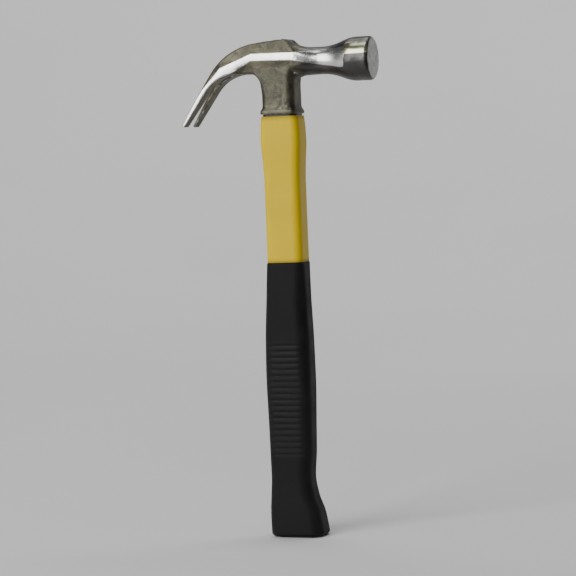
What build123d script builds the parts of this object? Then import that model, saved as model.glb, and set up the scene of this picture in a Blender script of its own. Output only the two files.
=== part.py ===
from build123d import *

import os
from math import cos, radians, sin, tan

# Curved-claw nail hammer: forged head, fibreglass-cored plastic handle, rubber grip. Millimetres, degrees.
# +Z runs up the handle to the head and +X to the striking face. The origin is on the handle's axis
# at the underside of the head. The hammer is the same on both sides of the plane y = 0.

# Striking end of the head: face, bell, cone and neck on one axis along X
FACE_X = 64.0
POLL_AXIS_Z = 33.8
BELL_RADIUS = 14.4
BELL_LENGTH = 16.0
FACE_CHAMFER = 1.6
CONE_LENGTH = 7.5
CONE_ROUND = 6.0
NECK_RADIUS = 9.4
NECK_ROOT_X = 2.0

# Eye block: cheeks on both sides, a lip round its foot, the crown on top and a sloping poll-side brow
CHEEK_HALF_X = 11.2
CHEEK_HALF_Y = 12.0
LIP_HEIGHT = 3.0
LIP_PROUD = 0.6
CROWN_X = 6.5
CROWN_Z = 49.5
CROWN_SLOPE = 6.5
BROW = (14.5, 41.5)

# Flats that take off the cheeks' upright corners, as (z, how far they reach along X and Y)
CORNER_FLATS = ((3.6, 4.2), (14.0, 3.8), (27.0, 0.4))
CORNER_CLEAR = 2.0

# Ridge between the cheek and the upper bevel, as (x, half width, z) from the neck out to the claws
RIDGE = ((16.0, 12.0, 39.4), (-16.5, 12.2, 39.7), (-38.0, 13.5, 31.3), (-54.0, 14.0, 14.3))
BEVEL_LEAN = 19.0

# Claws: the outer side runs straight, round an arc and straight again to the tips
CLAW_ARC_START_X = -15.0
CLAW_TIP = (-66.1, -5.4)
CLAW_OUTER_SLOPE = 58.5
CLAW_INNER_SLOPE = 54.0
CLAW_INNER_RADIUS = 26.0
CLAW_ROOT_Z = 27.3
CLAW_ROOT_RADIUS = 8.0
CLAW_TIP_THICKNESS = 1.6
CLAW_HALF_Y = 13.8
CLAW_FULL_WIDTH_X = -42.0
SLOT_ROOT = (-31.0, 41.0)
SLOT_SLOPE = 46.0
SLOT_ROOT_WIDTH = 3.0
SLOT_MOUTH_WIDTH = 11.0
SLOT_LENGTH = 62.0
SLOT_REACH = (-16.0, 9.0)

# Eye of the head, as (z, width along X, width along Y): flared at both ends so that the resin locks in it
EYE_SECTIONS = (
    (0.0, 17.6, 15.4),
    (16.0, 16.2, 14.4),
    (54.0, 19.4, 16.8),
)
EYE_CORNER = 4.5
RESIN_DISH = 0.7
BOND_LINE = 1.2
BOND_FOOT = (23.6, 19.6)

# Handle jacket, which swells below the head and then runs straight, as (z, width along X, width along Y)
HANDLE_SECTIONS = (
    (-1.2, 25.4, 21.2),
    (-9.0, 26.9, 21.6),
    (-18.0, 27.3, 21.7),
    (-30.0, 25.9, 21.3),
    (-44.0, 24.7, 21.0),
)
HANDLE_CORNER = 5.0

# Straight lengths of the jacket in the eye and in the grip, and the core, as (width along X, width along Y)
TENON = (14.2, 12.2)
TENON_CORNER = 3.6
TENON_TOP_Z = 45.0
SLEEVED = (18.0, 14.4)
SLEEVED_CORNER = 3.5
JACKET_FOOT_Z = -266.0
CORE = (10.6, 7.2)
CORE_CORNER = 3.0
CORE_FOOT_Z = -258.0

# Grip: sections as (z, claw-side x, face-side x, half width along Y, corner radius), from top to butt
GRIP_SECTIONS = (
    (-97.5, -12.8, 12.8, 10.9, 5.6),
    (-110.0, -13.9, 13.1, 11.2, 6.8),
    (-125.0, -15.0, 13.5, 11.6, 8.0),
    (-150.0, -16.3, 14.1, 12.1, 8.0),
    (-175.0, -16.7, 14.2, 12.4, 8.0),
    (-207.0, -16.3, 13.5, 12.0, 8.0),
    (-224.0, -16.2, 13.0, 11.8, 8.0),
    (-240.0, -16.1, 11.8, 11.6, 8.0),
    (-252.0, -16.7, 13.5, 12.0, 8.0),
    (-264.0, -17.2, 17.4, 12.6, 8.0),
    (-279.0, -16.8, 20.0, 13.0, 8.0),
)
GRIP_TOP_ROUND = 0.8
BUTT_ROUND = 2.5

GRIP_TOP_Z = GRIP_SECTIONS[0][0]
STRAIGHT_TOP_Z, *STRAIGHT = HANDLE_SECTIONS[-1]
CROWN_FALL = tan(radians(CROWN_SLOPE))

os.makedirs("parts", exist_ok=True)


def crown_height(x):
    """Height of the crown's straight top over x."""
    return CROWN_Z - (CROWN_X - x) * CROWN_FALL


def outer_arc_radius(start, tip):
    """Radius that turns the crown's slope into the claw's slope and still meets the tip."""
    first = radians(CROWN_SLOPE)
    last = radians(CLAW_OUTER_SLOPE)
    along = start[0] - tip[0]
    drop = start[1] - tip[1]
    return (tan(last) * along - drop) / (tan(last) * (sin(last) - sin(first)) - (cos(first) - cos(last)))


# --- Head: one forging ---
with BuildPart() as head:
    # Side view of the eye block and the claws
    claw_start = (CLAW_ARC_START_X, crown_height(CLAW_ARC_START_X))
    crown_run = (-cos(radians(CROWN_SLOPE)), -sin(radians(CROWN_SLOPE)))
    inner_tip = (
        CLAW_TIP[0] + CLAW_TIP_THICKNESS * sin(radians(CLAW_OUTER_SLOPE)),
        CLAW_TIP[1] - CLAW_TIP_THICKNESS * cos(radians(CLAW_OUTER_SLOPE)),
    )
    inner_turn_z = CLAW_ROOT_Z - CLAW_INNER_RADIUS * (1 - cos(radians(CLAW_INNER_SLOPE)))
    inner_turn_x = inner_tip[0] + (inner_turn_z - inner_tip[1]) / tan(radians(CLAW_INNER_SLOPE))
    inner_run = (cos(radians(CLAW_INNER_SLOPE)), sin(radians(CLAW_INNER_SLOPE)))
    with BuildSketch(Plane.XZ):
        with BuildLine():
            Line((CROWN_X, CROWN_Z), claw_start)
            outer = JernArc(
                claw_start,
                crown_run,
                outer_arc_radius(claw_start, CLAW_TIP),
                CLAW_OUTER_SLOPE - CROWN_SLOPE,
            )
            Line(outer @ 1, CLAW_TIP)
            Line(CLAW_TIP, inner_tip)
            Line(inner_tip, (inner_turn_x, inner_turn_z))
            inner = JernArc(
                (inner_turn_x, inner_turn_z),
                inner_run,
                CLAW_INNER_RADIUS,
                -CLAW_INNER_SLOPE,
            )
            root_start = (-CHEEK_HALF_X - CLAW_ROOT_RADIUS, CLAW_ROOT_Z)
            Line(inner @ 1, root_start)
            root = JernArc(root_start, (1, 0), CLAW_ROOT_RADIUS, -90)
            Polyline(
                root @ 1,
                (-CHEEK_HALF_X, LIP_HEIGHT + LIP_PROUD),
                (-CHEEK_HALF_X - LIP_PROUD, LIP_HEIGHT),
                (-CHEEK_HALF_X - LIP_PROUD, 0),
                (CHEEK_HALF_X + LIP_PROUD, 0),
                (CHEEK_HALF_X + LIP_PROUD, LIP_HEIGHT),
                (CHEEK_HALF_X, LIP_HEIGHT + LIP_PROUD),
                (CHEEK_HALF_X, POLL_AXIS_Z - NECK_RADIUS),
                BROW,
                (CROWN_X, CROWN_Z),
            )
        make_face()
    extrude(amount=CLAW_HALF_Y, both=True)

    # Plan view: narrow cheeks that widen into the claws
    with BuildSketch(Plane.XY):
        with BuildLine():
            Polyline(
                (CLAW_TIP[0], 0),
                (CLAW_TIP[0], CLAW_HALF_Y),
                (CLAW_FULL_WIDTH_X, CLAW_HALF_Y),
                (-CHEEK_HALF_X - CLAW_ROOT_RADIUS / 2, CHEEK_HALF_Y),
                (BROW[0], CHEEK_HALF_Y),
                (BROW[0], 0),
            )
            mirror(about=Plane.XZ)
        make_face()
    extrude(amount=CROWN_Z + CLAW_HALF_Y, both=True, mode=Mode.INTERSECT)

    # Upper bevels on both sides, from the ridge to the crown
    lean = tan(radians(BEVEL_LEAN))
    clear = 2 * CLAW_HALF_Y
    for x, half_width, z in RIDGE:
        with BuildSketch(Plane.YZ.offset(x)):
            Polygon(
                (half_width, z),
                (half_width + clear, z),
                (half_width + clear, z + clear),
                (half_width - clear * lean, z + clear),
                align=None,
            )
    loft(ruled=True, mode=Mode.SUBTRACT)

    # Flats on the two upright corners of the same half, wider towards the foot
    for side in (-1, 1):
        for z, reach in CORNER_FLATS:
            with BuildSketch(Plane.XY.offset(z)):
                Polygon(
                    (side * (CHEEK_HALF_X + CORNER_CLEAR), CHEEK_HALF_Y + CORNER_CLEAR),
                    (side * (CHEEK_HALF_X + CORNER_CLEAR), CHEEK_HALF_Y - CORNER_CLEAR - reach),
                    (side * (CHEEK_HALF_X - CORNER_CLEAR - reach), CHEEK_HALF_Y + CORNER_CLEAR),
                    align=None,
                )
        loft(ruled=True, mode=Mode.SUBTRACT)

    # Mirror image of the cut half: the cuts above only took the +Y side
    split(bisect_by=Plane.XZ, keep=Keep.BOTTOM)
    mirror(about=Plane.XZ)

    # Neck, cone, bell and chamfered face, turned about the poll's axis
    bell_start = FACE_X - BELL_LENGTH
    with BuildSketch(Plane.XZ):
        with BuildLine():
            Polyline(
                (NECK_ROOT_X, POLL_AXIS_Z),
                (NECK_ROOT_X, POLL_AXIS_Z + NECK_RADIUS),
                (bell_start - CONE_LENGTH, POLL_AXIS_Z + NECK_RADIUS),
                (bell_start, POLL_AXIS_Z + BELL_RADIUS),
                (FACE_X - FACE_CHAMFER, POLL_AXIS_Z + BELL_RADIUS),
                (FACE_X, POLL_AXIS_Z + BELL_RADIUS - FACE_CHAMFER),
                (FACE_X, POLL_AXIS_Z),
                close=True,
            )
        make_face()
    revolve(axis=Axis((0, 0, POLL_AXIS_Z), (1, 0, 0)))

    # Soft corner where the cone meets the neck
    circles = head.edges().filter_by(GeomType.CIRCLE)
    fillet(circles.filter_by_position(Axis.X, bell_start - CONE_LENGTH, bell_start), CONE_ROUND)

    # Tapered eye, right through from the underside to the crown
    for z, width_x, width_y in EYE_SECTIONS:
        with BuildSketch(Plane.XY.offset(z)):
            RectangleRounded(width_x, width_y, EYE_CORNER)
    loft(ruled=True, mode=Mode.SUBTRACT)

    # Nail slot between the claws: a V that opens to the tips, cut square to the claws
    slope = radians(SLOT_SLOPE)
    slot_plane = Plane(
        origin=(SLOT_ROOT[0], 0, SLOT_ROOT[1]),
        x_dir=(-cos(slope), 0, -sin(slope)),
        z_dir=(-sin(slope), 0, cos(slope)),
    )
    with BuildSketch(slot_plane.offset(SLOT_REACH[0])):
        with BuildLine():
            Polyline(
                (0, SLOT_ROOT_WIDTH / 2),
                (SLOT_LENGTH, SLOT_MOUTH_WIDTH / 2),
                (SLOT_LENGTH, -SLOT_MOUTH_WIDTH / 2),
                (0, -SLOT_ROOT_WIDTH / 2),
            )
            ThreePointArc((0, -SLOT_ROOT_WIDTH / 2), (-SLOT_ROOT_WIDTH / 2, 0), (0, SLOT_ROOT_WIDTH / 2))
        make_face()
    extrude(amount=SLOT_REACH[1] - SLOT_REACH[0], mode=Mode.SUBTRACT)
head.part.label = "head"

# --- Resin: fills the eye round the tenon, covers it at the crown and shows as a line under the head ---
with BuildPart() as epoxy_bond:
    for z, width_x, width_y in EYE_SECTIONS:
        with BuildSketch(Plane.XY.offset(z)):
            RectangleRounded(width_x, width_y, EYE_CORNER)
    loft(ruled=True)
    crown_top = Plane(
        origin=(CROWN_X, 0, CROWN_Z),
        x_dir=(cos(radians(CROWN_SLOPE)), 0, sin(radians(CROWN_SLOPE))),
        z_dir=(-sin(radians(CROWN_SLOPE)), 0, cos(radians(CROWN_SLOPE))),
    )
    brow_face = Plane(
        origin=(CROWN_X, 0, CROWN_Z),
        x_dir=(BROW[0] - CROWN_X, 0, BROW[1] - CROWN_Z),
        z_dir=(CROWN_Z - BROW[1], 0, BROW[0] - CROWN_X),
    )
    split(bisect_by=crown_top.offset(-RESIN_DISH), keep=Keep.BOTTOM)
    split(bisect_by=brow_face.offset(-RESIN_DISH), keep=Keep.BOTTOM)
    with BuildSketch(Plane.XY):
        RectangleRounded(*BOND_FOOT, HANDLE_CORNER)
    extrude(amount=-BOND_LINE)
    with BuildSketch(Plane.XY.offset(-BOND_LINE)):
        RectangleRounded(*TENON, TENON_CORNER)
    extrude(amount=TENON_TOP_Z + BOND_LINE, mode=Mode.SUBTRACT)
epoxy_bond.part.label = "epoxy_bond"

# --- Handle jacket: tenon in the eye, visible handle, and a thinner length inside the grip ---
with BuildPart() as handle_jacket:
    with BuildSketch(Plane.XY.offset(-BOND_LINE)):
        RectangleRounded(*TENON, TENON_CORNER)
    extrude(amount=TENON_TOP_Z + BOND_LINE)
    for z, width_x, width_y in HANDLE_SECTIONS:
        with BuildSketch(Plane.XY.offset(z)):
            RectangleRounded(width_x, width_y, HANDLE_CORNER)
    loft()
    with BuildSketch(Plane.XY.offset(STRAIGHT_TOP_Z)):
        RectangleRounded(*STRAIGHT, HANDLE_CORNER)
    extrude(amount=GRIP_TOP_Z - STRAIGHT_TOP_Z)
    with BuildSketch(Plane.XY.offset(GRIP_TOP_Z)):
        RectangleRounded(*SLEEVED, SLEEVED_CORNER)
    extrude(amount=JACKET_FOOT_Z - GRIP_TOP_Z)
    with BuildSketch(Plane.XY.offset(CORE_FOOT_Z)):
        RectangleRounded(*CORE, CORE_CORNER)
    extrude(amount=TENON_TOP_Z - CORE_FOOT_Z, mode=Mode.SUBTRACT)
handle_jacket.part.label = "handle_jacket"

# --- Core: straight glass-fibre rod from near the butt to the top of the tenon ---
with BuildPart() as fiberglass_core:
    with BuildSketch(Plane.XY.offset(CORE_FOOT_Z)):
        RectangleRounded(*CORE, CORE_CORNER)
    extrude(amount=TENON_TOP_Z - CORE_FOOT_Z)
fiberglass_core.part.label = "fiberglass_core"

# --- Grip: rubber sleeve with a waist and a butt that flares to the face side, closed at the end ---
with BuildPart() as grip:
    for z, claw_side, face_side, half_y, corner in GRIP_SECTIONS:
        with BuildSketch(Plane.XY.offset(z)):
            with Locations(((claw_side + face_side) / 2, 0)):
                RectangleRounded(face_side - claw_side, 2 * half_y, corner)
    loft()
    fillet(grip.faces().sort_by(Axis.Z)[-1].edges(), GRIP_TOP_ROUND)
    fillet(grip.faces().sort_by(Axis.Z)[0].edges(), BUTT_ROUND)
    with BuildSketch(Plane.XY.offset(GRIP_TOP_Z)):
        RectangleRounded(*SLEEVED, SLEEVED_CORNER)
    extrude(amount=JACKET_FOOT_Z - GRIP_TOP_Z, mode=Mode.SUBTRACT)
grip.part.label = "grip"

for piece in (head, epoxy_bond, handle_jacket, fiberglass_core, grip):
    export_step(piece.part, f"parts/{piece.part.label}.step")
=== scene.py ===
import math

import bpy
import numpy as np
from mathutils import Matrix, Vector


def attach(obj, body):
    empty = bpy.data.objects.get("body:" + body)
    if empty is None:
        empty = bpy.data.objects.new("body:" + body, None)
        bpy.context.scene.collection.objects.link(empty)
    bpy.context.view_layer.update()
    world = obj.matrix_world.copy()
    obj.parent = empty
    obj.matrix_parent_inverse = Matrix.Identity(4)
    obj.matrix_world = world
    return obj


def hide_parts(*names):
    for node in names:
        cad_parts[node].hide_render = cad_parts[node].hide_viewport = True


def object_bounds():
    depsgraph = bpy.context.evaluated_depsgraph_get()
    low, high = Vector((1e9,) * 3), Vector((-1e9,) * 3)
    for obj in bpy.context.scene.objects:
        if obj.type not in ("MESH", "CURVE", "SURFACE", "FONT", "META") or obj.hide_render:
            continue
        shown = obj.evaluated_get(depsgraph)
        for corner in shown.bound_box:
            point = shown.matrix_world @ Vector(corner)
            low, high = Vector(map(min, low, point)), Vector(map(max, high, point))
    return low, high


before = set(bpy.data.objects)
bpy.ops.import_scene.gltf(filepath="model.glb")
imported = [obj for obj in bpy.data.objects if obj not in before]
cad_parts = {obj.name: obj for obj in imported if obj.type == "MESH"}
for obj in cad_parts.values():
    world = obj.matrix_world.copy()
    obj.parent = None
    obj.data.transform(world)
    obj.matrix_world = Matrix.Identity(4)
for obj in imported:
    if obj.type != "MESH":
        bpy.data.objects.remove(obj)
CAD_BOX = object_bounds()

# The head's shape is worked out in millimetres and scaled to metres when its mesh is made
MM = 0.001

# ---------------------------------------------------------------- head: driving sizes, as in the CAD part
# Striking end: face, bell, cone and neck on one axis along X
FACE_X = 64.0
FACE_CHAMFER = 1.6
FACE_DOME_RADIUS = 450.0
FACE_ROUND = 0.5
POLL_AXIS_Z = 33.8
BELL_RADIUS = 14.4
BELL_START_X = 48.0
BELL_STRAIGHT = 3.0
BELL_TAPER = 0.012
BELL_ROUND = 2.5
CONE_START_X = 40.5
CONE_ROUND = 6.0
NECK_RADIUS = 9.4
NECK_X = (7.0, 50.0)
WAIST_X = 30.0
WAIST_REACH = 14.0
WAIST_DEPTH = 0.35

# Flat-sided shoulder between the cheeks and the round neck. It rises out of the cheeks over SHOULDER_RISE_X
SHOULDER_START_X = 8.0
SHOULDER_RISE_X = (8.5, 13.0)
SHOULDER_X = (13.0, 30.0)
SHOULDER_Z = 35.0
SHOULDER_HALF_Z = 6.6
SHOULDER_CORNER = 3.4
SHOULDER_END = 9.0
SHOULDER_SUNK = 1.0

# Eye block: cheeks, crown, brow and poll side
CHEEK_HALF_X = 11.2
CHEEK_HALF_Y = 12.0
CROWN = (6.5, 49.5)
CROWN_SLOPE = math.radians(6.5)
BROW_SOFT = 3.0
POLL_SIDE_PROUD = 3.3
POLL_SIDE_Z = (18.0, 40.0)
POLL_CORNER = 1.6
POLL_CORNER_BELOW = 5.4
POLL_CORNER_Z = (35.0, 27.0)

# Lip round the foot of the eye block
FOOT_HEIGHT = 2.6
FOOT_HALF_X = 11.7
FOOT_HALF_Y = 11.9
FOOT_CORNER = 2.2
FOOT_ROUND = 1.0
FOOT_BLEND = 3.4

# Claws
CLAW_ARC_START_X = -15.0
CLAW_TIP = (-66.1, -5.4)
CLAW_OUTER_SLOPE = math.radians(58.5)
CLAW_INNER_SLOPE = math.radians(54.0)
CLAW_INNER_RADIUS = 26.0
CLAW_ROOT_Z = 27.3
CLAW_ROOT_RADIUS = 8.0
CLAW_TIP_THICKNESS = 1.6
CLAW_TIP_ROUND = 0.4
CLAW_HALF_Y = 13.8
CLAW_WIDENING_X = (-12.0, -42.0)
CLAW_SLIMMING_X = (-46.0, -62.0)
CLAW_EDGE_ROUND = (1.1, 0.4)
CLAW_INNER_ROUND = (1.0, 0.3)
CHEEK_CORNER_EXTRA = 3.8
CHEEK_CORNER_Z = (24.0, 12.0)
CHEEK_CORNER_X = (-24.0, -18.0)
BLOCK_START_X = -25.0

# Ridge along each side, the bevel above it and the shallow recess below it
RIDGE_X = (-54.0, -38.0, -16.5, 16.0)
RIDGE_Z = (14.3, 31.3, 39.7, 39.4)
RIDGE_HALF_Y = (14.0, 13.5, 12.2, 12.0)
RIDGE_HEIGHT = 3.6
BEVEL_LEAN = math.radians(19.0)
BEVEL_SOFT = 0.9
RECESS_DEPTH = 0.8
RECESS_FADE = 6.0
RECESS_X = (-34.0, -22.0)

# Nail slot: a V through the claws, and the groove that bevels its outer edges
SLOT_ROOT = (-31.0, 41.0)
SLOT_SLOPE = math.radians(46.0)
SLOT_ROOT_HALF = 1.5
SLOT_SPREAD = 4.0 / 62.0
SLOT_REACH = (-16.0, 12.0)
SLOT_ROUND = 0.35
GROOVE_DEPTH = (3.4, 1.4)
GROOVE_FADE = (15.0, 45.0)
GROOVE_LEAN = 0.6
GROOVE_RUN_OUT = 0.42
GROOVE_LIMIT = 8.0

# Eye
EYE_Z = (0.0, 16.0, 54.0)
EYE_HALF_X = (8.8, 8.1, 9.7)
EYE_HALF_Y = (7.7, 7.2, 8.4)
EYE_CORNER = 4.5
EYE_ROUND = 0.4

# Softness of the joins between the block and the neck
JOIN_SOFT = 0.4
NECK_JOIN_SOFT = 6.0
NECK_JOIN_X = (9.0, 15.0)
NECK_JOIN_Y = (11.0, 8.0)
SHOULDER_JOIN_SOFT = 2.4
SHOULDER_JOIN_LEAST = 0.05
SHOULDER_JOIN_X = (27.0, 15.0)
# Farther than any point of the head, to switch the flat underside off beyond the block
FAR = 100.0


# ---------------------------------------------------------------- distance-field tools
def smooth_max(a, b, reach):
    """Larger of two distances, blended softly where they are within reach of each other."""
    h = np.maximum(reach - np.abs(a - b), 0.0) / reach
    return np.maximum(a, b) + h * h * reach * 0.25


def smooth_min(a, b, reach):
    """Smaller of two distances, blended softly where they are within reach of each other."""
    return -smooth_max(-a, -b, reach)


def round_max(a, b, radius):
    """Intersection of two solids with its outer edge rounded to a radius."""
    outside = np.hypot(np.maximum(a + radius, 0.0), np.maximum(b + radius, 0.0))
    return np.minimum(np.maximum(a, b), -radius) + outside


def ramp(value, low, high):
    """0 at low, 1 at high, smooth between. low may be the larger."""
    t = np.clip((value - low) / (high - low), 0.0, 1.0)
    return t * t * (3.0 - 2.0 * t)


def between(ends, part):
    """Value that part of the way from the first end to the second."""
    return ends[0] + (ends[1] - ends[0]) * part


def rounded_box(qx, qy, corner):
    """Distance outside a rounded corner, from the distances past the centres of its round."""
    return np.hypot(np.maximum(qx, 0.0), np.maximum(qy, 0.0)) + np.minimum(np.maximum(qx, qy), 0.0) - corner


def surface_net(field, low, high, cell):
    """Vertices and quads of the surface where field is zero, each vertex moved onto that surface."""
    axes = [np.arange(a, b + cell, cell) for a, b in zip(low, high)]
    grid = np.stack(np.meshgrid(*axes, indexing="ij"), axis=-1)
    inside = field(grid.reshape(-1, 3)).reshape(grid.shape[:3]) < 0.0
    cells = tuple(n - 1 for n in inside.shape)
    filled = np.zeros(cells, np.int8)
    for i in (0, 1):
        for j in (0, 1):
            for k in (0, 1):
                filled += inside[i:i + cells[0], j:j + cells[1], k:k + cells[2]]
    crossed = (filled > 0) & (filled < 8)
    number = np.full(cells, -1, np.int64)
    number[crossed] = np.arange(crossed.sum())
    points = grid[:-1, :-1, :-1][crossed] + cell / 2
    for _ in range(8):
        value, slope = value_and_slope(field, points)
        step = value[:, None] * slope / np.maximum((slope * slope).sum(1), 0.25)[:, None]
        points = points - np.clip(step, -cell / 2, cell / 2)
    quads = []
    for axis in range(3):
        first, second = [a for a in range(3) if a != axis]
        near = np.moveaxis(inside, (axis, first, second), (0, 1, 2))
        table = np.moveaxis(number, (axis, first, second), (0, 1, 2))
        change = near[:-1, 1:-1, 1:-1] != near[1:, 1:-1, 1:-1]
        i, j, k = np.nonzero(change)
        corners = [table[i, j, k], table[i, j + 1, k], table[i, j + 1, k + 1], table[i, j, k + 1]]
        quad = np.stack(corners, axis=1)
        leaving = near[:-1, 1:-1, 1:-1][change]
        turned = leaving if axis != 1 else ~leaving
        quad[~turned] = quad[~turned][:, ::-1]
        quads.append(quad)
    return points, np.concatenate(quads)


def value_and_slope(field, points, step=0.02):
    """The field and its gradient at each point."""
    value = field(points)
    slope = np.empty_like(points)
    for axis in range(3):
        shift = np.zeros(3)
        shift[axis] = step
        slope[:, axis] = (field(points + shift) - field(points - shift)) / (2 * step)
    return value, slope


# ---------------------------------------------------------------- head: the shape itself
def along(angle):
    """Direction down the claw at that slope, and the outward normal there."""
    return np.array([-math.cos(angle), -math.sin(angle)]), np.array([-math.sin(angle), math.cos(angle)])


def crown_z(x):
    """Height of the crown's line over x."""
    return CROWN[1] - (CROWN[0] - x) * math.tan(CROWN_SLOPE)


def outer_side(x, z):
    """Distance outside the crown's line, the claw's arc and the claw's straight end."""
    run_a, normal_a = along(CROWN_SLOPE)
    run_b, normal_b = along(CLAW_OUTER_SLOPE)
    start = np.array([CLAW_ARC_START_X, crown_z(CLAW_ARC_START_X)])
    gap = start - np.array(CLAW_TIP)
    turn = math.tan(CLAW_OUTER_SLOPE)
    radius = (turn * gap[0] - gap[1]) / (
        turn * (math.sin(CLAW_OUTER_SLOPE) - math.sin(CROWN_SLOPE))
        - (math.cos(CROWN_SLOPE) - math.cos(CLAW_OUTER_SLOPE))
    )
    centre = start - radius * normal_a
    dx, dz = x - centre[0], z - centre[1]
    line_a = (x - start[0]) * normal_a[0] + (z - start[1]) * normal_a[1]
    line_b = (x - CLAW_TIP[0]) * normal_b[0] + (z - CLAW_TIP[1]) * normal_b[1]
    arc = np.hypot(dx, dz) - radius
    before = dx * run_a[0] + dz * run_a[1] < 0
    after = dx * run_b[0] + dz * run_b[1] > 0
    return np.where(before, line_a, np.where(after, line_b, arc))


def throat(x, z):
    """Distance outside the space between the claws and the claw side of the cheeks."""
    _, normal_b = along(CLAW_OUTER_SLOPE)
    run, normal = along(CLAW_INNER_SLOPE)
    tip = np.array(CLAW_TIP) - CLAW_TIP_THICKNESS * normal_b
    turn_z = CLAW_ROOT_Z - CLAW_INNER_RADIUS * (1 - math.cos(CLAW_INNER_SLOPE))
    turn_x = tip[0] + (turn_z - tip[1]) / math.tan(CLAW_INNER_SLOPE)
    centre = np.array([turn_x, turn_z]) - CLAW_INNER_RADIUS * normal
    root = (-CHEEK_HALF_X - CLAW_ROOT_RADIUS, CLAW_ROOT_Z - CLAW_ROOT_RADIUS)
    claw = (x - tip[0]) * normal[0] + (z - tip[1]) * normal[1]
    bend = np.hypot(x - centre[0], z - centre[1]) - CLAW_INNER_RADIUS
    roof = z - CLAW_ROOT_Z
    corner = np.hypot(x - root[0], z - root[1]) - CLAW_ROOT_RADIUS
    wall = x + CHEEK_HALF_X
    before = (x - centre[0]) * run[0] + (z - centre[1]) * run[1] > 0
    return np.where(
        before,
        claw,
        np.where(x < centre[0], bend, np.where(x < root[0], roof, np.where(z > root[1], corner, wall))),
    )


def nail_slot(x, y, z, depth):
    """The V between the claws, with a groove that bevels its outer edges. y is taken as positive."""
    run, normal = along(SLOT_SLOPE)
    s = (x - SLOT_ROOT[0]) * run[0] + (z - SLOT_ROOT[1]) * run[1]
    n = (x - SLOT_ROOT[0]) * normal[0] + (z - SLOT_ROOT[1]) * normal[1]
    spread = SLOT_SPREAD * np.maximum(s, 0.0)
    through = np.where(s > 0, y - SLOT_ROOT_HALF - spread, np.hypot(s, y) - SLOT_ROOT_HALF)
    through = np.maximum(through, np.maximum(SLOT_REACH[0] - n, n - SLOT_REACH[1]))
    groove_depth = between(GROOVE_DEPTH, ramp(s, *GROOVE_FADE))
    run_out = GROOVE_RUN_OUT * np.minimum(s, 0.0)
    open_half = SLOT_ROOT_HALF + spread + GROOVE_LEAN * (groove_depth - depth) + run_out
    groove_side = (y - open_half) / math.hypot(1.0, GROOVE_LEAN)
    groove = np.maximum(groove_side, np.maximum(SLOT_REACH[0] - n, depth - GROOVE_LIMIT))
    return np.minimum(through, groove)


def eye(x, y, z):
    """Distance outside the tapered hole for the handle."""
    half_x = np.interp(z, EYE_Z, EYE_HALF_X)
    half_y = np.interp(z, EYE_Z, EYE_HALF_Y)
    return rounded_box(np.abs(x) - half_x + EYE_CORNER, y - half_y + EYE_CORNER, EYE_CORNER)


def poll(x, y, z):
    """Neck, cone, bell and face, turned about the poll's axis."""
    r = np.hypot(y, z - POLL_AXIS_Z)
    waist = WAIST_DEPTH * np.cos(np.clip((x - WAIST_X) / WAIST_REACH, -1.0, 1.0) * math.pi / 2)
    neck = np.maximum(r - NECK_RADIUS + waist, np.maximum(x - NECK_X[1], NECK_X[0] - x))
    rise = BELL_RADIUS - NECK_RADIUS
    run = BELL_START_X - CONE_START_X
    cone = ((BELL_START_X - x) * rise + (r - BELL_RADIUS) * run) / math.hypot(rise, run)
    taper = BELL_TAPER * np.maximum(FACE_X - BELL_STRAIGHT - x, 0.0)
    bell = round_max(cone, r - BELL_RADIUS + taper, BELL_ROUND)
    chamfer = (x - FACE_X + r - BELL_RADIUS + FACE_CHAMFER) / math.sqrt(2)
    dome = x - FACE_X + r * r / (2 * FACE_DOME_RADIUS)
    bell = round_max(bell, round_max(chamfer, dome, FACE_ROUND), FACE_ROUND)
    return smooth_min(neck, bell, CONE_ROUND)


def shoulder(x, y, z):
    """Flat-sided neck that carries the ridge on from the cheeks and turns round by its end."""
    t = ramp(x, *SHOULDER_X)
    half_y = between((CHEEK_HALF_Y, SHOULDER_END), t) - SHOULDER_SUNK * ramp(x, *reversed(SHOULDER_RISE_X))
    half_z = between((SHOULDER_HALF_Z, SHOULDER_END), t)
    corner = between((SHOULDER_CORNER, SHOULDER_END), t)
    middle_z = between((SHOULDER_Z, POLL_AXIS_Z), t)
    across = rounded_box(y - half_y + corner, np.abs(z - middle_z) - half_z + corner, corner)
    return np.maximum(across, np.maximum(SHOULDER_START_X - x, x - SHOULDER_X[1]))


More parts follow.
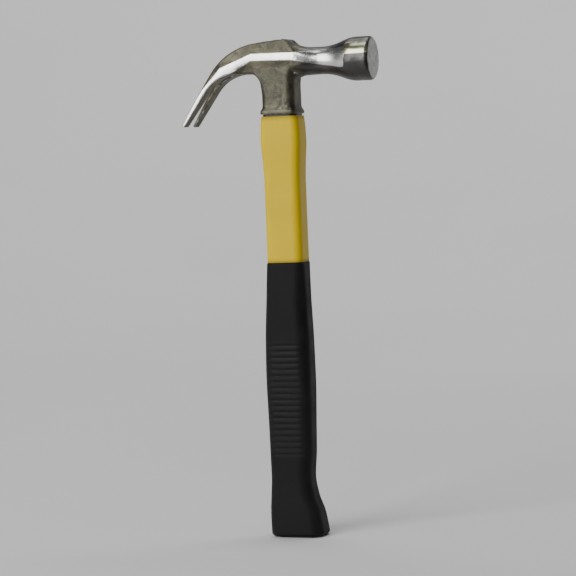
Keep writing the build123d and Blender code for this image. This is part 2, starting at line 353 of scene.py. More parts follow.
def block_and_claws(x, y, z):
    """Eye block with cheeks, ridge, crown and claws, before the holes are cut."""
    run, _ = along(CLAW_OUTER_SLOPE)
    tip_end = (x - CLAW_TIP[0]) * run[0] + (z - CLAW_TIP[1]) * run[1]
    ridge_z = np.interp(x, RIDGE_X, RIDGE_Z)
    ridge_y = np.interp(x, RIDGE_X, RIDGE_HALF_Y)
    half_y = between((CHEEK_HALF_Y, CLAW_HALF_Y), ramp(x, *CLAW_WIDENING_X))
    below = np.maximum(ridge_z - RIDGE_HEIGHT - z, 0.0) * ramp(x, *RECESS_X)
    side = y - half_y + RECESS_DEPTH * ramp(below, 0.0, RECESS_FADE)
    bevel = (y - ridge_y) * math.cos(BEVEL_LEAN) + (z - ridge_z) * math.sin(BEVEL_LEAN)
    sides = smooth_max(side, bevel, BEVEL_SOFT)
    poll_side_x = CHEEK_HALF_X + POLL_SIDE_PROUD * ramp(z, *POLL_SIDE_Z)
    brow = (x - CROWN[0] + z - CROWN[1]) / math.sqrt(2)
    poll_corner = between((POLL_CORNER, POLL_CORNER_BELOW), ramp(z, *POLL_CORNER_Z))
    slim = ramp(x, *CLAW_SLIMMING_X)
    cheek_corner = CHEEK_CORNER_EXTRA * ramp(z, *CHEEK_CORNER_Z) * ramp(x, *CHEEK_CORNER_X)
    solid = round_max(outer_side(x, z), tip_end, CLAW_TIP_ROUND)
    solid = round_max(solid, sides, between(CLAW_EDGE_ROUND, slim))
    solid = round_max(solid, -throat(x, z), between(CLAW_INNER_ROUND, slim) + cheek_corner)
    solid = round_max(solid, smooth_max(x - poll_side_x, brow, BROW_SOFT), poll_corner)
    foot_plan = round_max(np.abs(x) - FOOT_HALF_X, y - FOOT_HALF_Y, FOOT_CORNER)
    foot = round_max(np.maximum(-z, z - FOOT_HEIGHT), foot_plan, FOOT_ROUND)
    return smooth_min(np.where(x > BLOCK_START_X, np.maximum(solid, -z), solid), foot, FOOT_BLEND)


def head_field(p):
    """Distance outside the whole head, negative in the steel."""
    x, y, z = p[:, 0], np.abs(p[:, 1]), p[:, 2]
    shoulder_soft = SHOULDER_JOIN_LEAST + SHOULDER_JOIN_SOFT * ramp(x, *SHOULDER_JOIN_X)
    neck = smooth_min(poll(x, y, z), shoulder(x, y, z), shoulder_soft)
    neck_soft = JOIN_SOFT + NECK_JOIN_SOFT * ramp(x, *NECK_JOIN_X) * ramp(y, *NECK_JOIN_Y)
    solid = smooth_min(block_and_claws(x, y, z), neck, neck_soft)
    solid = np.maximum(solid, -z - FAR * (x < BLOCK_START_X))
    solid = round_max(solid, -nail_slot(x, y, z, -outer_side(x, z)), SLOT_ROUND)
    return round_max(solid, -eye(x, y, z), EYE_ROUND)


# ---------------------------------------------------------------- mesh helpers
def new_piece(name, points, faces, material, slot, *replaced):
    """A smooth-shaded mesh piece on the one body, in place of those CAD nodes."""
    mesh = bpy.data.meshes.new(name)
    mesh.from_pydata(points.tolist(), [], [list(f) for f in faces])
    mesh.validate()
    mesh.update()
    mesh.polygons.foreach_set("use_smooth", [True] * len(mesh.polygons))
    piece = bpy.data.objects.new(name, mesh)
    bpy.context.scene.collection.objects.link(piece)
    mesh.materials.append(material)
    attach(piece, "root")
    if replaced:
        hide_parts(*replaced)
    return piece


def add_mask(piece, name, values):
    """A value from 0 to 1 at each vertex, which the piece's material reads."""
    layer = piece.data.attributes.new(name, "FLOAT", "POINT")
    layer.data.foreach_set("value", np.asarray(values, np.float32))


def ring_stack(rings):
    """Faces that join a list of equal rings and close both ends on the first and last ring's centre."""
    count = len(rings[0])
    points = [np.asarray(r) for r in rings]
    stacked = np.concatenate(points + [points[0].mean(0)[None], points[-1].mean(0)[None]])
    faces = []
    for a in range(len(rings) - 1):
        for i in range(count):
            j = (i + 1) % count
            faces.append((a * count + i, (a + 1) * count + i, (a + 1) * count + j, a * count + j))
    first, last = len(rings) * count, len(rings) * count + 1
    base = (len(rings) - 1) * count
    for i in range(count):
        j = (i + 1) % count
        faces.append((first, i, j))
        faces.append((last, base + j, base + i))
    return stacked, faces


def rounded_ring(z, left, right, half_y, corner, side_steps=14, corner_steps=10):
    """Points of a rounded rectangle at height z, counter-clockwise seen from above, with their normals."""
    mid, half_x = (left + right) / 2, (right - left) / 2
    points, normals = [], []
    centres = [(1, 1), (-1, 1), (-1, -1), (1, -1)]
    for index, (sx, sy) in enumerate(centres):
        cx, cy = sx * (half_x - corner), sy * (half_y - corner)
        for step in range(corner_steps + 1):
            a = math.pi / 2 * (index + step / corner_steps)
            points.append((cx + corner * math.cos(a), cy + corner * math.sin(a)))
            normals.append((math.cos(a), math.sin(a)))
        nx, ny = centres[(index + 1) % 4]
        start = points[-1]
        a = math.pi / 2 * (index + 1)
        end = (nx * (half_x - corner) + corner * math.cos(a), ny * (half_y - corner) + corner * math.sin(a))
        for step in range(1, side_steps):
            t = step / side_steps
            points.append((start[0] + (end[0] - start[0]) * t, start[1] + (end[1] - start[1]) * t))
            normals.append((math.cos(a), math.sin(a)))
    ring = np.array([(mid + px, py, z) for px, py in points])
    return ring, np.array([(nx, ny, 0.0) for nx, ny in normals])


# ---------------------------------------------------------------- material helpers
class Nodes:
    """Short way to write a material's node tree."""

    def __init__(self, name):
        self.material = bpy.data.materials.new(name)
        self.material.use_nodes = True
        self.tree = self.material.node_tree
        self.shader = self.tree.nodes["Principled BSDF"]

    def add(self, kind, **settings):
        node = self.tree.nodes.new(kind)
        for key, value in settings.items():
            setattr(node, key, value)
        return node

    def link(self, source, target):
        self.tree.links.new(source, target)

    def place(self):
        return self.add("ShaderNodeTexCoord").outputs["Object"]

    def stretch(self, vector, scale):
        node = self.add("ShaderNodeMapping")
        node.inputs["Scale"].default_value = scale
        self.link(vector, node.inputs["Vector"])
        return node.outputs["Vector"]

    def noise(self, vector, scale, detail=4.0, roughness=0.55, distortion=0.0):
        node = self.add("ShaderNodeTexNoise")
        self.link(vector, node.inputs["Vector"])
        node.inputs["Scale"].default_value = scale
        node.inputs["Detail"].default_value = detail
        node.inputs["Roughness"].default_value = roughness
        node.inputs["Distortion"].default_value = distortion
        return node.outputs["Fac"]

    def cells(self, vector, scale):
        node = self.add("ShaderNodeTexVoronoi", feature="F1")
        self.link(vector, node.inputs["Vector"])
        node.inputs["Scale"].default_value = scale
        return node.outputs["Distance"]

    def spread(self, value, low, high, out_low=0.0, out_high=1.0):
        node = self.add("ShaderNodeMapRange", interpolation_type="SMOOTHSTEP")
        self.link(value, node.inputs["Value"])
        node.inputs["From Min"].default_value = low
        node.inputs["From Max"].default_value = high
        node.inputs["To Min"].default_value = out_low
        node.inputs["To Max"].default_value = out_high
        return node.outputs["Result"]

    def math(self, operation, a, b):
        node = self.add("ShaderNodeMath", operation=operation)
        for socket, value in zip(node.inputs, (a, b)):
            if isinstance(value, (int, float)):
                socket.default_value = value
            else:
                self.link(value, socket)
        return node.outputs["Value"]

    def mix(self, factor, a, b):
        """Colour mix, where a and b are colours or sockets."""
        node = self.add("ShaderNodeMix", data_type="RGBA")
        sockets = [s for s in node.inputs if s.type == "RGBA"]
        self.link(factor, node.inputs["Factor"])
        for socket, value in zip(sockets, (a, b)):
            if isinstance(value, tuple):
                socket.default_value = (*value, 1.0)
            else:
                self.link(value, socket)
        return [s for s in node.outputs if s.type == "RGBA"][0]

    def mask(self, name):
        return self.add("ShaderNodeAttribute", attribute_name=name).outputs["Fac"]

    def bump(self, height, distance, strength=1.0, normal=None):
        node = self.add("ShaderNodeBump")
        node.inputs["Strength"].default_value = strength
        node.inputs["Distance"].default_value = distance
        self.link(height, node.inputs["Height"])
        if normal is not None:
            self.link(normal, node.inputs["Normal"])
        return node.outputs["Normal"]

    def finish(self, colour, roughness, normal, metallic=0.0, **plain):
        shader = self.shader
        self.link(colour, shader.inputs["Base Color"])
        self.link(roughness, shader.inputs["Roughness"])
        self.link(normal, shader.inputs["Normal"])
        shader.inputs["Metallic"].default_value = metallic
        for key, value in plain.items():
            shader.inputs[key.replace("_", " ")].default_value = value
        return self.material


SCALE_OLIVE = ((0.090, 0.086, 0.062), (0.165, 0.155, 0.105))
SCALE_DARK = (0.060, 0.056, 0.046)
SCALE_PALE = (0.190, 0.175, 0.145)
TURNED_DARK = ((0.075, 0.073, 0.072), (0.13, 0.127, 0.12))
GROUND_STEEL = ((0.60, 0.595, 0.58), (0.72, 0.715, 0.70))
BELL_DULL_PAINTED_TINT = ((0.50, 0.50, 0.34), (0.62, 0.62, 0.46))
SHADE_IN_CREASES_ON_STEEL = (0.045, 0.040, 0.032)


def steel():
    """Forged steel: ground bright on the ridge, neck and claws, a duller bell with a painted yellow
    reflection tint, dull olive scale elsewhere, and painted shade in its creases.
    """
    n = Nodes("forged_steel")
    place = n.place()
    ground = n.mask("ground")
    turned = n.mask("turned")
    bell = n.mask("bell")
    wear = n.mask("wear")
    crease_shade = n.mask("crease_shade")
    coarse = n.noise(place, 260.0, 5.0, 0.6)
    fine = n.noise(place, 1400.0, 4.0, 0.6)
    broad = n.noise(place, 55.0, 3.0, 0.5)
    grind_lines = n.noise(n.stretch(place, (9000.0, 260.0, 260.0)), 1.0, 3.0, 0.6)
    patches = n.noise(place, 130.0, 6.0, 0.7, 0.6)

    # Forging scale: broad olive tones, dark patches and a pale fine grain. The turned neck is darker
    scale_colour = n.mix(n.spread(broad, 0.35, 0.7), *SCALE_OLIVE)
    scale_colour = n.mix(n.spread(patches, 0.44, 0.62), scale_colour, SCALE_DARK)
    scale_colour = n.mix(n.spread(fine, 0.45, 0.8, 0.0, 0.8), scale_colour, SCALE_PALE)
    bright = n.mix(n.spread(coarse, 0.3, 0.75), *GROUND_STEEL)
    # The bell's ground steel is duller, and its yellow tint is painted reflection colour of yellowish ceiling
    # lamps
    bell_painted_tint = n.mix(n.spread(coarse, 0.3, 0.75), *BELL_DULL_PAINTED_TINT)
    bright = n.mix(bell, bright, bell_painted_tint)
    dark_turned = n.mix(n.spread(broad, 0.35, 0.7), *TURNED_DARK)
    scale_colour = n.mix(turned, scale_colour, dark_turned)

    # Where it shines: the ground band with a ragged edge, and worn corners
    worn = n.math("MULTIPLY", wear, n.spread(coarse, 0.35, 0.65, 0.1, 0.6))
    ragged = n.math("MULTIPLY", n.math("SUBTRACT", coarse, 0.5), 0.35)
    shine = n.spread(n.math("ADD", n.math("MAXIMUM", ground, worn), ragged), 0.15, 0.85)
    dullness = n.math("SUBTRACT", 1.0, shine)
    colour = n.mix(shine, scale_colour, bright)
    # Painted shade: concave creases of the block are darkened to a near-black brown
    colour = n.mix(n.math("MULTIPLY", crease_shade, 0.7), colour, SHADE_IN_CREASES_ON_STEEL)

    dull_rough = n.math("SUBTRACT", n.spread(fine, 0.3, 0.7, 0.46, 0.62), n.math("MULTIPLY", turned, 0.16))
    streaks = n.math("ADD", n.math("MULTIPLY", grind_lines, 0.6), n.math("MULTIPLY", broad, 0.4))
    glossy_rough = n.spread(streaks, 0.35, 0.65, 0.17, 0.30)
    rough = n.math("ADD", n.math("MULTIPLY", dullness, dull_rough), n.math("MULTIPLY", shine, glossy_rough))

    # Relief of the scale, about a mean level of 0, which grinding has all but taken away
    pits = n.spread(n.cells(place, 420.0), 0.0, 0.35)
    relief = n.math("ADD", coarse, n.math("MULTIPLY", pits, 0.15))
    relief = n.math("ADD", relief, n.math("MULTIPLY", patches, 0.9))
    relief = n.math("SUBTRACT", relief, 1.05)
    relief = n.math("MULTIPLY", relief, n.math("SUBTRACT", 1.0, n.math("MULTIPLY", shine, 0.94)))
    normal = n.bump(relief, 0.0005, 0.45)
    normal = n.bump(grind_lines, 0.00002, 0.35, normal)
    return n.finish(colour, rough, normal, metallic=1.0)


PLASTIC_YELLOW = ((0.66, 0.46, 0.0), (0.72, 0.505, 0.0))
PLASTIC_FLOW = (0.62, 0.42, 0.0)
PLASTIC_SCUFF = (0.45, 0.34, 0.04)
PLASTIC_JOIN_SHADE = (0.16, 0.11, 0.03)


def yellow_plastic():
    """Moulded yellow handle plastic: slight orange peel, faint lengthwise flow, scuffs, and painted shade
    under the head and at the grip.
    """
    n = Nodes("yellow_plastic")
    place = n.place()
    dust_and_join_shade = n.mask("dust_and_join_shade")
    flow = n.noise(n.stretch(place, (300.0, 300.0, 22.0)), 1.0, 4.0, 0.5)
    peel = n.noise(place, 900.0, 3.0, 0.5)
    broad = n.noise(place, 40.0, 3.0, 0.5)
    scuff = n.spread(n.noise(n.stretch(place, (500.0, 500.0, 120.0)), 1.0, 6.0, 0.7), 0.56, 0.7)
    colour = n.mix(n.spread(broad, 0.3, 0.7), *PLASTIC_YELLOW)
    colour = n.mix(n.math("MULTIPLY", n.spread(flow, 0.4, 0.75), 0.3), colour, PLASTIC_FLOW)
    colour = n.mix(n.math("MULTIPLY", scuff, 0.22), colour, PLASTIC_SCUFF)
    # Painted shade: darker brown just under the head and where the handle enters the grip
    colour = n.mix(n.math("MULTIPLY", dust_and_join_shade, 0.6), colour, PLASTIC_JOIN_SHADE)
    uneven = n.math("ADD", n.math("MULTIPLY", peel, 0.5), n.math("MULTIPLY", broad, 0.5))
    dirt = n.math("MULTIPLY", n.math("ADD", scuff, dust_and_join_shade), 0.12)
    rough = n.math("ADD", n.spread(uneven, 0.35, 0.65, 0.33, 0.5), dirt)
    normal = n.bump(peel, 0.00004, 0.5)
    normal = n.bump(flow, 0.00012, 0.4, normal)
    return n.finish(colour, rough, normal, IOR=1.45, Specular_IOR_Level=0.22)


RUBBER_BLACK = ((0.0045, 0.0043, 0.0048), (0.0085, 0.0082, 0.0088))
RUBBER_WORN = (0.020, 0.019, 0.0195)
RUBBER_DUST = (0.012, 0.011, 0.010)


def black_rubber():
    """Grip rubber: fine mould grain, paler on the worn high places and dusty in the grooves."""
    n = Nodes("black_rubber")
    place = n.place()
    wear = n.mask("wear")
    dust_and_join_shade = n.mask("dust_and_join_shade")
    grain = n.noise(place, 2600.0, 3.0, 0.6)
    broad = n.noise(place, 60.0, 4.0, 0.6)
    colour = n.mix(n.spread(broad, 0.3, 0.7), *RUBBER_BLACK)
    worn = n.math("MULTIPLY", wear, n.spread(broad, 0.3, 0.6, 0.25, 0.7))
    colour = n.mix(worn, colour, RUBBER_WORN)
    colour = n.mix(n.math("MULTIPLY", dust_and_join_shade, 0.5), colour, RUBBER_DUST)
    uneven = n.math("ADD", n.math("MULTIPLY", grain, 0.4), n.math("MULTIPLY", broad, 0.6))
    rough = n.spread(uneven, 0.35, 0.65, 0.52, 0.72)
    normal = n.bump(grain, 0.00006, 0.6)
    normal = n.bump(broad, 0.0002, 0.3, normal)
    return n.finish(colour, rough, normal, IOR=1.4, Specular_IOR_Level=0.25)


RESIN_DARK = ((0.020, 0.019, 0.018), (0.040, 0.038, 0.035))


def cast_resin():
    """Dark epoxy: satin, slightly wavy, with small bubbles."""
    n = Nodes("epoxy_resin")
    place = n.place()
    waves = n.noise(place, 220.0, 3.0, 0.5)
    bubbles = n.spread(n.cells(place, 500.0), 0.0, 0.25)
    colour = n.mix(n.spread(waves, 0.3, 0.7), *RESIN_DARK)
    rough = n.spread(waves, 0.3, 0.7, 0.34, 0.5)
    normal = n.bump(waves, 0.0001, 0.3)
    normal = n.bump(bubbles, 0.00003, 0.3, normal)
    return n.finish(colour, rough, normal, IOR=1.5)


FIBRE_STRAW = ((0.42, 0.38, 0.24), (0.62, 0.58, 0.42))


def glass_fibre():
    """Pultruded rod: lengthwise fibres in a straw-coloured resin."""
    n = Nodes("glass_fibre")
    place = n.place()
    fibres = n.noise(n.stretch(place, (4000.0, 4000.0, 60.0)), 1.0, 4.0, 0.6)
    colour = n.mix(n.spread(fibres, 0.3, 0.7), *FIBRE_STRAW)
    rough = n.spread(fibres, 0.3, 0.7, 0.45, 0.6)
    return n.finish(colour, rough, n.bump(fibres, 0.00008, 0.6), IOR=1.5)


# ---------------------------------------------------------------- pieces
def edge_masks(field, points, reach):
    """How convex and how concave the surface is at each point, from 0 to 1."""
    _, slope = value_and_slope(field, points)
    normal = slope / np.maximum(np.linalg.norm(slope, axis=1), 1e-6)[:, None]
    convex = (field(points - normal * reach) + reach) / reach
    concave = (reach - field(points + normal * reach)) / reach
    return ramp(convex, 0.05, 0.35), ramp(concave, 0.08, 0.45), normal


# The band ground bright along each side: up the claw, along the ridge, over the neck and round the bell
BAND_X = (-54.0, -38.0, -16.5, 12.0, 24.0, 44.0, 47.0, 48.0, 64.0)
BAND_TOP = (14.3, 31.3, 39.7, 39.5, 40.3, 41.0, 41.5, 44.4, 44.6)
BAND_FOOT = (9.0, 25.0, 36.4, 35.6, 33.0, 29.5, 29.5, 37.6, 37.9)
BAND_TOP_SOFT = (0.6, -0.2)
BAND_FOOT_SOFT = 1.6
BAND_WHOLE_SIDE_X = (-26.0, -36.0)
OUTWARD = (0.45, 0.75)
BRIGHT_TIPS_X = (-47.0, -54.0)
TURNED_X = (15.0, 20.0)
FACE_GRIND = 0.4
EDGE_REACH = 0.8
HEAD_CELL = 0.55


def band_mask(x, z, outward):
    """1 on the ground band, from the table's foot up to its top, on surfaces that face the side."""
    top = np.interp(x, BAND_X, BAND_TOP)
    foot = np.interp(x, BAND_X, BAND_FOOT)
    above_foot = np.maximum(ramp(z, foot - BAND_FOOT_SOFT, foot), ramp(x, *BAND_WHOLE_SIDE_X))
    return ramp(z, top + BAND_TOP_SOFT[0], top + BAND_TOP_SOFT[1]) * above_foot * ramp(outward, *OUTWARD)


def make_head(material):
    cell = HEAD_CELL
    low = (CLAW_TIP[0] - 2.0, -CLAW_HALF_Y - 2.0, CLAW_TIP[1] - 3.0)
    high = (FACE_X + 2.0, CLAW_HALF_Y + 2.0, CROWN[1] + 2.0)
    points, quads = surface_net(head_field, low, high, cell)
    head = new_piece("forged_head", points * MM, quads, material, "forged_steel", "head")
    x, y, z = points[:, 0], np.abs(points[:, 1]), points[:, 2]
    convex, concave, normal = edge_masks(head_field, points, EDGE_REACH)
    band = band_mask(x, z, normal[:, 1] * np.sign(points[:, 1]))
    claw_tips = ramp(x, *BRIGHT_TIPS_X) * ramp(outer_side(x, z), -0.9, -0.4)
    bell = ramp(x, BELL_START_X - 1.6, BELL_START_X - 0.4)
    face = ramp(x, FACE_X - 0.7, FACE_X - 0.3)
    hole = eye(x, y, z)
    ground = np.maximum.reduce([band, claw_tips, FACE_GRIND * face]) - ramp(hole, 0.6, 0.2)
    add_mask(head, "ground", np.clip(ground, 0, 1))
    add_mask(head, "turned", ramp(x, *TURNED_X))
    add_mask(head, "bell", bell * (1.0 - face))
    add_mask(head, "wear", convex * (1.0 - 0.8 * ramp(hole, 2.5, 1.0)))
    # Painted shade mask: concave creases between the claw roots and the shoulder
    add_mask(head, "crease_shade", concave * ramp(x, 16.0, 12.0) * ramp(x, -30.0, -20.0))


# ---------------------------------------------------------------- handle
# Height, width along the head and width across it. The top is the shoulder under the head.
HANDLE_SECTIONS = np.array([
    (-1.2, 25.4, 21.2),
    (-9.0, 26.9, 21.6),
    (-18.0, 27.3, 21.7),
    (-30.0, 25.9, 21.3),
    (-44.0, 24.7, 21.0),
    (-97.5, 24.7, 21.0),
])
HANDLE_CORNER = 5.0
HANDLE_TOP_Z = HANDLE_SECTIONS[0, 0]
GRIP_TOP_Z = HANDLE_SECTIONS[-1, 0]
HANDLE_EDGE_ROUND = 0.7
HANDLE_EDGE_RINGS = 5
HANDLE_BODY_START_Z = -2.6
HANDLE_BODY_RINGS = 110
TENON_TOP_Z = 45.0
JACKET_FOOT_Z = -266.0
CORE_FOOT_Z = -258.0
# Half width along the head, half width across it and corner radius
TENON = (7.1, 6.1, 3.6)
SLEEVED = (9.0, 7.2, 3.5)
CORE = (5.3, 3.6, 3.0)


def smooth_table(table, heights):
    """Values of a table's columns at those heights, on a curve with no overshoot."""
    order = np.argsort(table[:, 0])
    known = table[order]
    z = known[:, 0]
    result = []
    for column in known[:, 1:].T:
        steps = np.diff(column) / np.diff(z)
        slope = np.zeros(len(z))
        same_way = steps[:-1] * steps[1:] > 0
        product = 2 * steps[:-1] * steps[1:]
        slope[1:-1] = np.where(same_way, product / np.where(same_way, steps[:-1] + steps[1:], 1.0), 0.0)
        slope[0], slope[-1] = steps[0], steps[-1]
        i = np.clip(np.searchsorted(z, heights) - 1, 0, len(z) - 2)
        h = z[i + 1] - z[i]
        t = (heights - z[i]) / h
        result.append(
            column[i] * (1 + 2 * t) * (1 - t) ** 2
            + column[i + 1] * t * t * (3 - 2 * t)
            + h * slope[i] * t * (1 - t) ** 2
            - h * slope[i + 1] * t * t * (1 - t)
        )
    return np.stack(result, axis=1)


def plain_ring(z, size):
    """A ring centred on the handle's axis, of a size given as in TENON."""
    half_x, half_y, corner = size
    return rounded_ring(z, -half_x, half_x, half_y, corner)[0]


def make_jacket(material):
    """The yellow handle with its bore for the core, its tenon in the eye and its reduced foot in the grip."""
    rings = [plain_ring(CORE_FOOT_Z, CORE), plain_ring(TENON_TOP_Z, CORE)]
    rings += [plain_ring(TENON_TOP_Z, TENON), plain_ring(HANDLE_TOP_Z, TENON)]
    edge = HANDLE_EDGE_ROUND
    heights = np.concatenate([
        np.linspace(HANDLE_TOP_Z, HANDLE_TOP_Z - edge, HANDLE_EDGE_RINGS),
        np.linspace(HANDLE_BODY_START_Z, GRIP_TOP_Z, HANDLE_BODY_RINGS),
    ])
    for z, (width_x, width_y) in zip(heights, smooth_table(HANDLE_SECTIONS, heights)):
        lift = max(edge - (HANDLE_TOP_Z - z), 0.0)
        inset = edge - math.sqrt(edge * edge - lift * lift)
        half_x, half_y = width_x / 2 - inset, width_y / 2 - inset
        rings.append(plain_ring(z, (half_x, half_y, HANDLE_CORNER)))
    rings += [plain_ring(GRIP_TOP_Z, SLEEVED), plain_ring(JACKET_FOOT_Z, SLEEVED)]
    points, faces = ring_stack(rings)
    jacket = new_piece("yellow_jacket", points * MM, faces, material, "yellow_plastic", "handle_jacket")
    z = points[:, 2]
    near_head = ramp(z, -5.0, -1.5)
    near_grip = ramp(z, GRIP_TOP_Z + 3.0, GRIP_TOP_Z + 0.5)
    # Painted shade mask: strongest just under the head and at the mouth of the grip
    add_mask(jacket, "dust_and_join_shade", 0.8 * np.maximum(near_head, near_grip))


# Height, claw side, face side, half width across the head and corner radius
GRIP_SECTIONS = np.array([
    (-97.5, -12.8, 12.8, 10.9, 5.6),
    (-110.0, -13.9, 13.1, 11.2, 6.8),
    (-125.0, -15.0, 13.5, 11.6, 8.0),
    (-150.0, -16.3, 14.1, 12.1, 8.0),
    (-175.0, -16.7, 14.2, 12.4, 8.0),
    (-207.0, -16.3, 13.5, 12.0, 8.0),
    (-224.0, -16.2, 13.0, 11.8, 8.0),
    (-240.0, -16.1, 11.8, 11.6, 8.0),
    (-252.0, -16.7, 13.5, 12.0, 8.0),
    (-264.0, -17.2, 17.4, 12.6, 8.0),
    (-279.0, -16.8, 20.0, 13.0, 8.0),
])
GRIP_TOP_ROUND = 0.8
BUTT_ROUND = 2.5
GRIP_ROUND_STEPS = 7
GRIP_RING_STEP = 0.4
RIB_PITCH = 4.0
RIB_DEPTH = 0.38
RIB_SPAN = (-226.0, -150.0)
RIB_FADE = 2.0


def grip_rings():
    """Heights of the grip's outer rings from the top down, and how far its rounded ends draw each one in."""
    top, butt = GRIP_SECTIONS[0, 0], GRIP_SECTIONS[-1, 0]
    quarter = [math.pi / 2 * i / GRIP_ROUND_STEPS for i in range(GRIP_ROUND_STEPS + 1)]
    body = np.arange(top - GRIP_TOP_ROUND - GRIP_RING_STEP, butt + BUTT_ROUND, -GRIP_RING_STEP)
    heights = [top - GRIP_TOP_ROUND * (1 - math.cos(a)) for a in quarter]
    insets = [GRIP_TOP_ROUND * (1 - math.sin(a)) for a in quarter]
    heights += list(body)
    insets += [0.0] * len(body)
    heights += [butt + BUTT_ROUND * (1 - math.sin(a)) for a in quarter]
    insets += [BUTT_ROUND * (1 - math.cos(a)) for a in quarter]
    return np.array(heights), insets, np.clip(heights, butt, top)


def make_grip(material):
    """The rubber sleeve: a bore for the handle's foot, a flared closed butt and ribs on its flat sides."""
    rings = [plain_ring(JACKET_FOOT_Z, SLEEVED), plain_ring(GRIP_TOP_Z, SLEEVED)]
    heights, insets, table_heights = grip_rings()
    low, high = RIB_SPAN
    wear, dust_and_join_shade = [], []
    for z, inset, section in zip(heights, insets, smooth_table(GRIP_SECTIONS, table_heights)):
        left, right, half_y, corner = section
        ring, normal = rounded_ring(z, left + inset, right - inset, half_y - inset, corner - inset / 2)
        in_span = ramp(z, low - RIB_FADE, low + RIB_FADE) * ramp(z, high + RIB_FADE, high - RIB_FADE)
        wave = 0.5 - 0.5 * math.cos(2 * math.pi * z / RIB_PITCH)
        groove = (1 - ramp(wave, 0.15, 0.6)) * in_span
        flat = ramp(np.abs(normal[:, 1]), 0.7, 1.0)
        rings.append(ring - normal * (RIB_DEPTH * groove * flat)[:, None])
        wear.append((in_span * (1 - groove)) * flat * 0.5 + 0.3 * (1 - flat))
        dust_and_join_shade.append(groove * flat)
    points, faces = ring_stack(rings)
    grip = new_piece("rubber_grip", points * MM, faces, material, "black_rubber", "grip")
    bore, end_centres = np.zeros(2 * len(rings[0])), np.zeros(2)
    add_mask(grip, "wear", np.concatenate([bore, *wear, end_centres]))
    add_mask(grip, "dust_and_join_shade", np.concatenate([bore, *dust_and_join_shade, end_centres]))


# ---------------------------------------------------------------- set: floor, light and camera
PAPER_PALE = ((0.66, 0.66, 0.655), (0.685, 0.685, 0.68))
PAPER_PAINTED_SHADE = (0.06, 0.06, 0.065)
PAPER_PALE_SIDE = (-0.75, 0.66, 0.0)


def pale_paper():
    """Pale studio paper with painted shade that darkens it towards the front, so that metal has something
    dark to mirror.
    """
    n = Nodes("pale_paper")
    place = n.place()
    mottle = n.noise(place, 1.5, 2.0, 0.5)
    pale = n.mix(n.spread(mottle, 0.3, 0.7), *PAPER_PALE)
    towards_back = n.add("ShaderNodeVectorMath", operation="DOT_PRODUCT")
    n.link(place, towards_back.inputs[0])
    towards_back.inputs[1].default_value = PAPER_PALE_SIDE
    # Painted shade: the paper turns near-black towards the front, across PAPER_PALE_SIDE
    colour = n.mix(n.spread(towards_back.outputs["Value"], -0.65, -0.2), PAPER_PAINTED_SHADE, pale)
    rough = n.spread(mottle, 0.3, 0.7, 0.8, 0.9)
    return n.finish(colour, rough, n.bump(mottle, 0.001, 0.1))


# Metres: radius of the flat floor, radius of the bend round it and height at which its turned-down rim ends
FLOOR_FLAT = 1.3
FLOOR_BEND = 2.2
FLOOR_RIM_FOOT = 1.6
FLOOR_FLAT_RADII = (0.4, 0.8, FLOOR_FLAT)
FLOOR_BEND_STEPS = 12
FLOOR_SIDES = 96


def make_floor(z):
    """A round studio sweep: a flat floor that curves up all the way round."""
    profile = [(r, 0.0) for r in FLOOR_FLAT_RADII]
    for i in range(1, FLOOR_BEND_STEPS + 1):
        a = math.pi / 2 * i / FLOOR_BEND_STEPS
        profile.append((FLOOR_FLAT + FLOOR_BEND * math.sin(a), FLOOR_BEND * (1 - math.cos(a))))
    profile.append((FLOOR_FLAT + FLOOR_BEND, FLOOR_RIM_FOOT))
    count = FLOOR_SIDES
    turns = [2 * math.pi * i / count for i in range(count)]
    points = [(0.0, 0.0, z)]
    for r, h in profile:
        points += [(r * math.cos(turn), r * math.sin(turn), z + h) for turn in turns]
    faces = [(0, 1 + i, 1 + (i + 1) % count) for i in range(count)]
    for row in range(len(profile) - 1):
        a, b = 1 + row * count, 1 + (row + 1) * count
        faces += [(a + i, b + i, b + (i + 1) % count, a + (i + 1) % count) for i in range(count)]
    mesh = bpy.data.meshes.new("studio_sweep")
    mesh.from_pydata(points, [], faces)
    mesh.update()
    mesh.polygons.foreach_set("use_smooth", [True] * len(mesh.polygons))
    mesh.materials.append(pale_paper())
    floor = bpy.data.objects.new("studio_sweep", mesh)
    bpy.context.scene.collection.objects.link(floor)


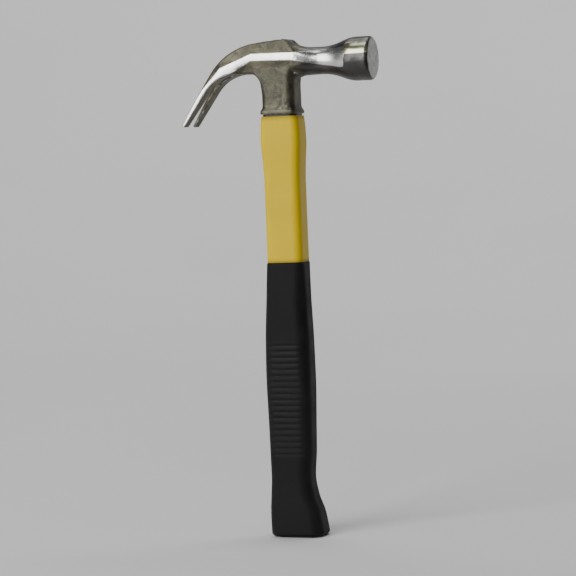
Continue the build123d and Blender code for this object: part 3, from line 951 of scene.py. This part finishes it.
# Name, place, point aimed at, width and height in metres, and power in watts
LIGHTS = (
    ("key", (-0.91, -1.78, 0.92), (0.0, 0.0, 0.67), (1.3, 2.1), 50.0),
    ("front", (0.16, -1.95, 0.85), (0.0, 0.0, 0.6), (0.5, 1.2), 7.0),
    ("overhead", (-0.2, -0.5, 2.4), (0.0, 0.0, 0.0), (1.2, 0.8), 6.0),
    ("background", (0.0, 1.2, 2.7), (0.0, 2.9, 0.0), (3.0, 1.2), 70.0),
    ("fill", (2.2, -0.9, 0.5), (0.0, 0.0, -0.1), (0.7, 1.4), 3.0),
)
WORLD_COLOUR = (0.93, 0.96, 1.0, 1.0)
WORLD_STRENGTH = 0.10
# The photo's view: seen from the face side of the front, slightly rolled
CAMERA_PLACE = (0.513, -1.477, -0.025)
CAMERA_LENS = 148.0
CAMERA_ROLL = math.radians(-2.3)


def make_light(name, place, aim, size, power):
    data = bpy.data.lights.new(name, "AREA")
    data.shape = "RECTANGLE"
    data.size, data.size_y = size
    data.energy = power
    light = bpy.data.objects.new(name, data)
    light.location = place
    light.rotation_euler = (Vector(aim) - Vector(place)).to_track_quat("-Z", "Y").to_euler()
    light.visible_camera = False
    bpy.context.scene.collection.objects.link(light)


def make_world():
    world = bpy.data.worlds.new("studio")
    bpy.context.scene.world = world
    world.use_nodes = True
    background = world.node_tree.nodes["Background"]
    background.inputs["Color"].default_value = WORLD_COLOUR
    background.inputs["Strength"].default_value = WORLD_STRENGTH


def make_camera(centre):
    data = bpy.data.cameras.new("camera")
    data.sensor_width = 36.0
    data.lens = CAMERA_LENS
    data.clip_start, data.clip_end = 0.01, 50.0
    camera = bpy.data.objects.new("camera", data)
    place = Vector(CAMERA_PLACE)
    aim = (centre - place).to_track_quat("-Z", "Y").to_matrix().to_4x4()
    roll = Matrix.Rotation(CAMERA_ROLL, 4, "Z")
    camera.matrix_world = Matrix.Translation(place) @ aim @ roll
    bpy.context.scene.collection.objects.link(camera)
    bpy.context.scene.camera = camera


make_head(steel())
make_jacket(yellow_plastic())
make_grip(black_rubber())
for node, material in (("epoxy_bond", cast_resin()), ("fiberglass_core", glass_fibre())):
    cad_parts[node].data.materials.clear()
    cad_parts[node].data.materials.append(material)

low, high = CAD_BOX
make_floor(low.z - 0.0005)
make_world()
for light in LIGHTS:
    make_light(*light)
make_camera((low + high) / 2)

bpy.context.view_layer.update()
